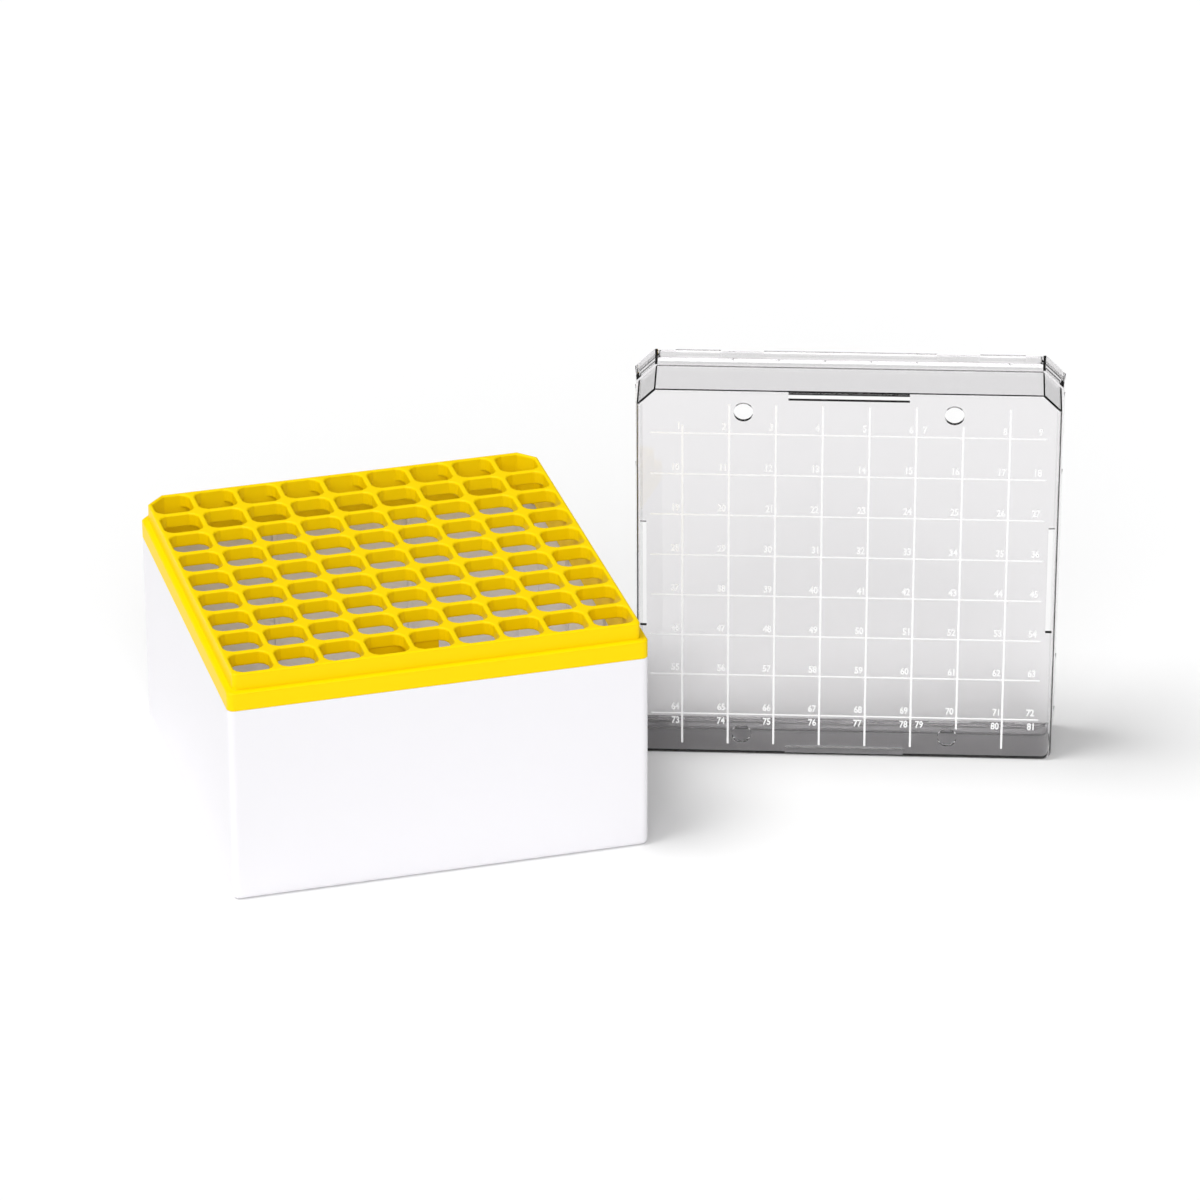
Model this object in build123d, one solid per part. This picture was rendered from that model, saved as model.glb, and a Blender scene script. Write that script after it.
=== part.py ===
from build123d import *
import math
import os

os.makedirs("parts", exist_ok=True)

# Freezer storage box for 81 upright tubes. Millimetres, +Z up, +X right along
# the front, +Y to the back. The origin is the centre of the box's underside.
# The lid is off and stands on its edge to the right of the box.

# Box: the white outer moulding
BOX_WIDTH = 131.0          # across the outer faces, both ways
BOX_HEIGHT = 64.8          # floor line to the top edge of the walls
BOX_WALL = 2.0
BOX_FLOOR = 2.0
CORNER_CHAMFER = 6.5       # leg of the two cut corners at the back
FRONT_CORNER_RADIUS = 2.2
CHAMFER_BLEND = 2.1        # rounding where a cut corner meets a wall
FOOT_RADIUS = 1.9          # rounding of the underside's edge
INSIDE_BEVEL = 1.0         # slope between floor and walls inside
RIB_SPACING = 44.0         # between the two ribs of one wall
RIB_WIDTH = 1.4
RIB_DEPTH = 0.9

# Divider: the yellow moulding on top
CELLS = 9                  # tube cells each way
RIM_HEIGHT = 5.9           # outer band, flush with the box
STAGE_HEIGHT = 5.4         # deck above the band's ledge
STAGE_INSET = 2.1          # deck's side set in from the box's face
STAGE_WALL = 1.3           # deck's edge to the outermost cells
WEB_WIDTH = 1.8            # bars between cells
WEB_DEPTH = 4.3
CELL_RADIUS = 3.4
CELL_FLATS = 2             # flats that draw one rounded corner of a cell
CELL_BEVEL = 0.4           # lead-in round the mouth of a cell
SKIRT_DEPTH = 16.5         # skirt's lower edge below the top of the deck
SKIRT_GAP = 0.3            # skirt to the inside of the walls
TAB_WIDTH = 22.0
TAB_THICKNESS = 1.0
TAB_DROP = 5.0             # tab's reach below the webs
TAB_COLUMN = 3.98          # tab's middle, in cells from the left side
TAB_ROW = 8                # web that carries it, in cells from the back
DECK_BEVEL = 0.4           # broken edge of deck and band

# Lid: the clear moulding
LID_PANEL_WIDTH = 130.5
LID_DEPTH = 24.0           # panel's outer face to the rim
LID_WALL = 1.0
LID_PANEL_THICKNESS = 1.4
LID_SHOULDER = 15.4        # panel's outer face to the step
LID_STEP = 0.6             # step's outward offset
LID_FLARE = 0.8            # flange's slope, outward from step to rim
SEAT_DEPTH = 4.2           # rebate in the rim that goes over the yellow band
SEAT_GAP = 0.1             # rebate's play round the band
LID_CHAMFER = 5.4          # leg of the panel's two cut corners
LID_CORNER_RADIUS = 3.0
LID_EDGE_RADIUS = 0.9      # rounding round the panel
SLOT_LENGTH = 37.2
SLOT_WIDTH = 2.0
VENT_DIAMETER = 6.1
VENT_SPACING = 64.8        # between the two vents of one edge
VENT_INSET = 7.5           # vent's centre in from the panel's edge
NOTCH_HEIGHT = 4.2         # recesses in the flange, up from the rim
NOTCH_DEPTH = 0.35
NOTCH_WIDE = 13.3
NOTCH_NARROW = 5.5
NOTCH_WIDE_AT = 33.4       # middle of a wide recess from the side's middle
NOTCH_NARROW_AT = 56.8

# Print on the lid: ink lines
INK = 0.08
INK_ROW_LINE = 0.5
INK_COLUMN_LINE = 0.65
INK_BORDER = 0.54          # panel's edge to the outer bounds of the grid
INK_SHIFT = -0.75          # middle line of the columns from the panel's middle
INK_SIDE_GAP = 4.25        # lines' ends to the panel's edges
INK_TOP_GAP = 4.6
INK_BOTTOM_GAP = 4.0
INK_FIRST_GAP = 12.1       # first column line's start under the panel's top edge
INK_VENT_COLUMN = 7        # column line that stops short of the vents
INK_VENT_GAP = 10.9

# Where the lid stands: the middle of its lower edge, and its turn
LID_X = 140.5
LID_Y = -26.4
LID_TURN = -18.23

HALF = BOX_WIDTH / 2
CORNER = 2 - math.sqrt(2)  # a cut corner's leg shrinks by this much of an inset
LEDGE = BOX_HEIGHT + RIM_HEIGHT
TOP = LEDGE + STAGE_HEIGHT
SKIRT_BOTTOM = TOP - SKIRT_DEPTH
WELL_HALF = HALF - STAGE_INSET - STAGE_WALL
CELL = (2 * WELL_HALF - (CELLS - 1) * WEB_WIDTH) / CELLS
PITCH = CELL + WEB_WIDTH


def outline(half, leg, front_radius, back_radius=0):
    """Square with its two back corners cut off and its front corners rounded."""
    shape = Polygon(
        (-half, -half),
        (half, -half),
        (half, half - leg),
        (half - leg, half),
        (leg - half, half),
        (-half, half - leg),
        align=None,
    )
    shape = fillet(shape.vertices().sort_by(Axis.Y)[:2], front_radius)
    if back_radius > 0:
        shape = fillet(shape.vertices().filter_by(lambda v: v.Y > 0), back_radius)
    return shape


def box_outline(inset):
    """The box's outline, drawn in by an inset, which leaves its cut corners crisp."""
    leg = CORNER_CHAMFER - inset * CORNER
    front_radius = max(FRONT_CORNER_RADIUS - inset / 3, 0.8)
    back_radius = CHAMFER_BLEND if inset <= 0 else 0
    return outline(HALF - inset, leg, front_radius, back_radius)


def prism(face, bottom, top):
    """Straight wall between two heights."""
    return Pos(0, 0, bottom) * extrude(face, top - bottom)


def edges_at(solid, height):
    """The solid's edges that lie flat at a height."""
    return solid.edges().filter_by(
        lambda e: abs(e.bounding_box().min.Z - height) < 1e-4
        and abs(e.bounding_box().max.Z - height) < 1e-4
    )


def base_box():
    """White box: floor, four walls and two slim ribs inside each wall."""
    body = prism(box_outline(0), 0, BOX_HEIGHT)
    body = fillet(edges_at(body, 0), FOOT_RADIUS)
    inside = prism(box_outline(BOX_WALL), BOX_FLOOR, BOX_HEIGHT + 1)
    inside = chamfer(edges_at(inside, BOX_FLOOR), INSIDE_BEVEL)
    body -= inside
    rib_top = SKIRT_BOTTOM - SKIRT_GAP
    rib = Box(
        RIB_WIDTH,
        RIB_DEPTH + BOX_WALL / 2,
        rib_top - BOX_FLOOR / 2,
        align=(Align.CENTER, Align.MIN, Align.MIN),
    )
    wall_middle = HALF - BOX_WALL / 2
    for quarter in range(4):
        for side in (-1, 1):
            spot = Pos(side * RIB_SPACING / 2, -wall_middle, BOX_FLOOR / 2)
            body += Rot(0, 0, 90 * quarter) * (spot * rib)
    return body


def cell_opening():
    """One cell: a square with rounded corners, each drawn by a few flats."""
    middle = CELL / 2 - CELL_RADIUS
    step = math.radians(90 / (CELL_FLATS + 1))
    reach = CELL_RADIUS / math.cos(step / 2)
    points = []
    for quarter in range(4):
        turn = math.radians(90 * quarter + 45)
        x = middle * math.sqrt(2) * math.cos(turn)
        y = middle * math.sqrt(2) * math.sin(turn)
        for flat in range(CELL_FLATS + 1):
            angle = math.radians(90 * quarter) + (flat + 0.5) * step
            points.append((x + reach * math.cos(angle), y + reach * math.sin(angle)))
    return Polygon(*points, align=None)


def divider():
    """Yellow grid: rim band, raised deck with the cells, skirt and tab."""
    deck = prism(box_outline(STAGE_INSET), BOX_HEIGHT, TOP)
    deck = chamfer(edges_at(deck, TOP), DECK_BEVEL)
    band = prism(box_outline(0), BOX_HEIGHT, LEDGE)
    band = chamfer(edges_at(band, LEDGE), DECK_BEVEL)
    skirt = prism(box_outline(BOX_WALL + SKIRT_GAP), SKIRT_BOTTOM, LEDGE)
    well = box_outline(STAGE_INSET + STAGE_WALL)
    body = band + deck + skirt
    body -= prism(well, SKIRT_BOTTOM - 1, TOP - WEB_DEPTH)
    cells = Sketch() + GridLocations(PITCH, PITCH, CELLS, CELLS) * cell_opening()
    openings = cells & well
    body -= prism(openings, TOP - WEB_DEPTH - 1, TOP + 1)
    mouths = extrude(openings, CELL_BEVEL + 0.1, taper=-45)
    body -= Pos(0, 0, TOP - CELL_BEVEL) * mouths
    tab = Box(
        TAB_WIDTH,
        TAB_THICKNESS,
        TAB_DROP + WEB_DEPTH / 2,
        align=(Align.CENTER, Align.CENTER, Align.MIN),
    )
    tab_x = (TAB_COLUMN - CELLS / 2) * PITCH
    tab_y = (CELLS / 2 - TAB_ROW) * PITCH
    body += Pos(tab_x, tab_y, TOP - WEB_DEPTH - TAB_DROP) * tab
    return body


def lid_outline(half):
    """The lid's outline at a half width: the panel's, offset evenly."""
    offset = half - LID_PANEL_WIDTH / 2
    leg = LID_CHAMFER + offset * CORNER
    front_radius = max(LID_CORNER_RADIUS + offset, 0.8)
    return outline(half, leg, front_radius)


def sloped(top_half, bottom_half, top, bottom):
    """Wall that widens downwards from one half width to another."""
    slope = math.degrees(math.atan2(bottom_half - top_half, top - bottom))
    down = extrude(lid_outline(top_half), top - bottom, dir=(0, 0, -1), taper=-slope)
    return Pos(0, 0, top) * down


def around(shape):
    """A shape drawn for the front side, set on all four sides."""
    return [Rot(0, 0, 90 * quarter) * shape for quarter in range(4)]


def lid():
    """Clear lid as it lies when closed: rim at z 0, panel on top."""
    panel = LID_PANEL_WIDTH / 2
    step_z = LID_DEPTH - LID_SHOULDER
    under_panel = LID_DEPTH - LID_PANEL_THICKNESS
    step = panel + LID_STEP
    rim = step + LID_FLARE
    upper = prism(lid_outline(panel), step_z, LID_DEPTH)
    upper = fillet(edges_at(upper, LID_DEPTH), LID_EDGE_RADIUS)
    flange = sloped(step, rim, step_z, 0)
    body = upper + flange
    seat = prism(box_outline(-SEAT_GAP), -1, SEAT_DEPTH)
    hollow = prism(lid_outline(panel - LID_WALL), -1, under_panel)
    body -= seat + hollow
    slot = Box(SLOT_LENGTH, SLOT_WIDTH, 4 * LID_PANEL_THICKNESS)
    slot_y = panel - LID_WALL - SLOT_WIDTH / 2
    for cut in around(Pos(0, -slot_y, LID_DEPTH) * slot):
        body -= cut
    vent = Cylinder(VENT_DIAMETER / 2, 4 * LID_PANEL_THICKNESS)
    for side in (-1, 1):
        for end in (-1, 1):
            spot = Pos(side * VENT_SPACING / 2, end * (panel - VENT_INSET), LID_DEPTH)
            body -= spot * vent
    for middle, width in ((NOTCH_WIDE_AT, NOTCH_WIDE), (NOTCH_NARROW_AT, NOTCH_NARROW)):
        notch = Pos(0, 0, NOTCH_HEIGHT / 2) * Box(width, 2 * NOTCH_DEPTH, NOTCH_HEIGHT)
        for side in (-1, 1):
            for cut in around(Pos(side * middle, -rim, 0) * notch):
                body -= cut
    return body


def ink_line(start, end, width):
    """Straight line of ink between two points of the panel."""
    middle = Pos((start[0] + end[0]) / 2, (start[1] + end[1]) / 2)
    if start[0] == end[0]:
        return middle * Rectangle(width, abs(end[1] - start[1]))
    return middle * Rectangle(abs(end[0] - start[0]), width)


def lid_print():
    """Printed grid on the lid: eight lines each way, a thin layer of ink."""
    panel = LID_PANEL_WIDTH / 2
    pitch = 2 * (panel - INK_BORDER) / CELLS
    side = panel - INK_SIDE_GAP
    lines = Sketch()
    for index in range(1, CELLS):
        at = (index - CELLS / 2) * pitch
        lines += ink_line((-side, at), (side, at), INK_ROW_LINE)
        top = panel - INK_TOP_GAP
        bottom = INK_BOTTOM_GAP - panel
        if index == 1:
            top = panel - INK_FIRST_GAP
        if index == INK_VENT_COLUMN:
            top = panel - INK_VENT_GAP
            bottom = INK_VENT_GAP - panel
        column = at + INK_SHIFT
        lines += ink_line((column, bottom), (column, top), INK_COLUMN_LINE)
    return Pos(0, 0, LID_DEPTH) * extrude(lines, INK)


def stand(lid_solid):
    """Where the lid stands off the box: on its edge, panel to the front."""
    reach = LID_STEP + LID_FLARE
    lean = math.degrees(math.atan2(reach, LID_DEPTH - LID_EDGE_RADIUS))
    turned = Rot(0, 0, LID_TURN) * Rot(90 + lean, 0, 0)
    drop = (turned * lid_solid).bounding_box().min.Z
    edge = turned * Pos(0, -LID_PANEL_WIDTH / 2, LID_DEPTH)
    return Pos(LID_X - edge.position.X, LID_Y - edge.position.Y, -drop) * turned


export_step(base_box(), "parts/base_box.step")
export_step(divider(), "parts/divider.step")
cover = lid()
place = stand(cover)
export_step(place * cover, "parts/lid.step")
export_step(place * lid_print(), "parts/lid_grid_print.step")
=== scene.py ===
import math

import bpy
from mathutils import Matrix, Vector


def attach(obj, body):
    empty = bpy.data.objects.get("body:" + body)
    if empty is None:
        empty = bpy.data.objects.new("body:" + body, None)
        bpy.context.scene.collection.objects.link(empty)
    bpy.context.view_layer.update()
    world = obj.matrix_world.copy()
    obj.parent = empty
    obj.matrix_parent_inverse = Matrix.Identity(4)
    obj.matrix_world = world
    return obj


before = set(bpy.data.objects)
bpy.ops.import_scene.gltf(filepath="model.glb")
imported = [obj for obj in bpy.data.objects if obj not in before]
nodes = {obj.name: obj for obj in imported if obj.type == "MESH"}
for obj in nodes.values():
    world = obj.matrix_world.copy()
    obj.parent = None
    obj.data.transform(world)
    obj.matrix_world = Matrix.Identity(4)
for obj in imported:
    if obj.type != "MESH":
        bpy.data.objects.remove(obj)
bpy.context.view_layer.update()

MM = 0.001
GRAIN_DETAIL = 3
EDGE_SAMPLES = 6           # rays that round an edge's shading
FLOOR_SIZE = 8             # metres
VIEW_DEPTH = 20            # metres, how far the camera sees
DIGIT_SMOOTHNESS = 3       # steps along a numeral's curves

# Camera: its place (mm), its turn, height angle and roll (degrees), and its lens
CAMERA_AT = (-415.35, -1756.1, 970.1)
CAMERA_TURN = 15.39
CAMERA_DOWN = 26.74
CAMERA_ROLL = 0.17
CAMERA_LENS = 195.23
SENSOR = 36.0


def material(name, color, roughness, **sockets):
    """Principled material; colors are linear."""
    made = bpy.data.materials.new(name)
    made.use_nodes = True
    shader = made.node_tree.nodes["Principled BSDF"]
    shader.inputs["Base Color"].default_value = (*color, 1)
    shader.inputs["Roughness"].default_value = roughness
    for socket, value in sockets.items():
        shader.inputs[socket.replace("_", " ")].default_value = value
    return made


def grain(made, scale, strength, distance, edge=0):
    """Fine moulded grain: bump from noise in object space, over rounded edges."""
    tree = made.node_tree
    shader = tree.nodes["Principled BSDF"]
    coords = tree.nodes.new("ShaderNodeTexCoord")
    noise = tree.nodes.new("ShaderNodeTexNoise")
    noise.inputs["Scale"].default_value = scale
    noise.inputs["Detail"].default_value = GRAIN_DETAIL
    bump = tree.nodes.new("ShaderNodeBump")
    bump.inputs["Strength"].default_value = strength
    bump.inputs["Distance"].default_value = distance
    tree.links.new(coords.outputs["Object"], noise.inputs["Vector"])
    tree.links.new(noise.outputs["Fac"], bump.inputs["Height"])
    if edge:
        bevel = tree.nodes.new("ShaderNodeBevel")
        bevel.samples = EDGE_SAMPLES
        bevel.inputs["Radius"].default_value = edge
        tree.links.new(bevel.outputs["Normal"], bump.inputs["Normal"])
    tree.links.new(bump.outputs["Normal"], shader.inputs["Normal"])


def dress(node, made):
    """Gives a CAD node its material."""
    node.data.materials.clear()
    node.data.materials.append(made)


white = material("white_plastic", (0.86, 0.85, 0.88), 0.45)
grain(white, 900, 0.05, 0.0002, edge=0.0005)
yellow = material("yellow_plastic", (0.98, 0.69, 0.0), 0.38, Specular_IOR_Level=0.08)
grain(yellow, 1100, 0.04, 0.0002, edge=0.0007)
clear = material(
    "clear_plastic", (0.86, 0.85, 0.86), 0.03, Transmission_Weight=1.0, IOR=1.49
)
grain(clear, 35, 0.02, 0.0005)
ink = material("white_ink", (0.93, 0.93, 0.93), 0.5)

dress(nodes["base_box"], white)
dress(nodes["divider"], yellow)
dress(nodes["lid"], clear)
dress(nodes["lid_grid_print"], ink)

# Numerals printed on the lid, in the cells of its printed grid (mm)
CELLS = 9
INK_PITCH = 14.38
GRID_SHIFT = (-0.75, 0.3)  # middle of the grid from the middle of the print's bounds
DIGIT_HEIGHT = 2.6
DIGIT_NARROW = 0.76
DIGIT_WEIGHT = 0.03
DIGIT_LIFT = 0.03
SIDE_GAP = 0.9             # numeral to the line on its right
BASE_GAP = 1.25            # numeral to the line under it
LAST_ROW_GAP = 1.2         # last row's numerals hang this far under its line
LAST_COLUMN_EDGE = 60.4    # right end of the last column's numerals
BESIDE_VENT = {7: 2.0, 79: 1.5}  # numerals moved left of a vent, gap to the line


def printed_face(node):
    """Origin and axes of the printed layer's outer face."""
    mesh = node.data
    outward = Vector()
    for face in mesh.polygons:
        if face.normal.y < -0.5 and abs(face.normal.x) < 0.5:
            outward += face.normal * face.area
    outward.normalize()
    up = (Vector((0, 0, 1)) - outward * outward.z).normalized()
    right = up.cross(outward)
    spans = []
    for axis in (right, up, outward):
        along = [vertex.co.dot(axis) for vertex in mesh.vertices]
        spans.append((min(along), max(along)))
    across, along = (sum(span) / 2 + shift * MM for span, shift in zip(spans, GRID_SHIFT))
    origin = right * across + up * along + outward * spans[2][1]
    return origin, right, up, outward


def digits(text):
    """Flat outline of a numeral: points with its lower left corner at zero."""
    curve = bpy.data.curves.new("digits", "FONT")
    curve.body = text
    curve.resolution_u = DIGIT_SMOOTHNESS
    curve.offset = DIGIT_WEIGHT
    drawn = bpy.data.objects.new("digits", curve)
    bpy.context.collection.objects.link(drawn)
    bpy.context.view_layer.update()
    flat = drawn.evaluated_get(bpy.context.evaluated_depsgraph_get()).to_mesh()
    points = [point.co.copy() for point in flat.vertices]
    faces = [tuple(face.vertices) for face in flat.polygons]
    bpy.data.objects.remove(drawn)
    left = min(point.x for point in points)
    bottom = min(point.y for point in points)
    scale = DIGIT_HEIGHT / (max(point.y for point in points) - bottom)
    placed = [
        ((point.x - left) * scale * DIGIT_NARROW, (point.y - bottom) * scale)
        for point in points
    ]
    return placed, faces


def numerals(node):
    """All the lid's numerals as one flat piece on the printed face."""
    origin, right, up, outward = printed_face(node)
    points = []
    faces = []
    for number in range(1, CELLS * CELLS + 1):
        row, column = divmod(number - 1, CELLS)
        outline, shapes = digits(str(number))
        width = max(x for x, _ in outline)
        if number in BESIDE_VENT:
            left = (column - CELLS / 2) * INK_PITCH + BESIDE_VENT[number]
        elif column == CELLS - 1:
            left = LAST_COLUMN_EDGE - width
        else:
            left = (column + 1 - CELLS / 2) * INK_PITCH - SIDE_GAP - width
        if row == CELLS - 1:
            bottom = (CELLS / 2 - row) * INK_PITCH - LAST_ROW_GAP - DIGIT_HEIGHT
        else:
            bottom = (CELLS / 2 - row - 1) * INK_PITCH + BASE_GAP
        start = len(points)
        for x, y in outline:
            spot = right * (left + x) + up * (bottom + y) + outward * DIGIT_LIFT
            points.append(origin + spot * MM)
        faces += [tuple(start + index for index in shape) for shape in shapes]
    mesh = bpy.data.meshes.new("lid_numerals")
    mesh.from_pydata(points, [], faces)
    piece = bpy.data.objects.new("lid_numerals", mesh)
    bpy.context.collection.objects.link(piece)
    dress(piece, ink)
    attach(piece, "root")


numerals(nodes["lid_grid_print"])

# Floor
bpy.ops.mesh.primitive_plane_add(size=FLOOR_SIZE, location=(0, 0, 0))
floor = bpy.context.object
floor.name = "floor"
dress(floor, material("floor_paper", (0.95, 0.95, 0.95), 0.9, Specular_IOR_Level=0.1))

# Light: a sky that is brighter to the front and left, and two wide suns
BRIGHT_SIDE = (-0.5, -0.8, 0.33)
SKY_DIM = 0.05
SKY_BRIGHT = 0.62
world = bpy.data.worlds.new("studio")
bpy.context.scene.world = world
world.use_nodes = True
sky = world.node_tree.nodes["Background"]
sky.inputs["Color"].default_value = (1, 1, 1, 1)
facing = world.node_tree.nodes.new("ShaderNodeVectorMath")
facing.operation = "DOT_PRODUCT"
facing.inputs[1].default_value = BRIGHT_SIDE
fade = world.node_tree.nodes.new("ShaderNodeMapRange")
fade.inputs["From Min"].default_value = -1
fade.inputs["To Min"].default_value = SKY_DIM
fade.inputs["To Max"].default_value = SKY_BRIGHT
heading = world.node_tree.nodes.new("ShaderNodeTexCoord")
world.node_tree.links.new(heading.outputs["Generated"], facing.inputs[0])
world.node_tree.links.new(facing.outputs["Value"], fade.inputs["Value"])
world.node_tree.links.new(fade.outputs["Result"], sky.inputs["Strength"])


def soft_sun(name, side, height, spread, strength):
    """Wide sun; side is its bearing from the front to the left, in degrees."""
    data = bpy.data.lights.new(name, "SUN")
    data.energy = strength
    data.angle = math.radians(spread)
    lamp = bpy.data.objects.new(name, data)
    bpy.context.collection.objects.link(lamp)
    bearing = math.radians(side)
    level = math.cos(math.radians(height))
    down = -math.sin(math.radians(height))
    shine = Vector((math.sin(bearing) * level, math.cos(bearing) * level, down))
    lamp.rotation_euler = shine.to_track_quat("-Z", "Y").to_euler()


soft_sun("left_light", 90, 66, 32, 1.75)
soft_sun("front_light", 15, 32, 40, 1.0)


def aim_camera():
    """Camera matched to the photograph."""
    turn = math.radians(CAMERA_TURN)
    down = math.radians(CAMERA_DOWN)
    roll = math.radians(CAMERA_ROLL)
    ahead = Vector(
        (
            math.sin(turn) * math.cos(down),
            math.cos(turn) * math.cos(down),
            -math.sin(down),
        )
    )
    side = Vector((math.cos(turn), -math.sin(turn), 0))
    below = ahead.cross(side)
    right = math.cos(roll) * side + math.sin(roll) * below
    lower = math.cos(roll) * below - math.sin(roll) * side
    data = bpy.data.cameras.new("camera")
    data.lens = CAMERA_LENS
    data.sensor_width = SENSOR
    data.clip_end = VIEW_DEPTH
    camera = bpy.data.objects.new("camera", data)
    bpy.context.collection.objects.link(camera)
    axes = Matrix((right, -lower, -ahead)).transposed()
    camera.matrix_world = Matrix.Translation(Vector(CAMERA_AT) * MM) @ axes.to_4x4()
    bpy.context.scene.camera = camera


aim_camera()
scene = bpy.context.scene
scene.view_settings.view_transform = "Standard"
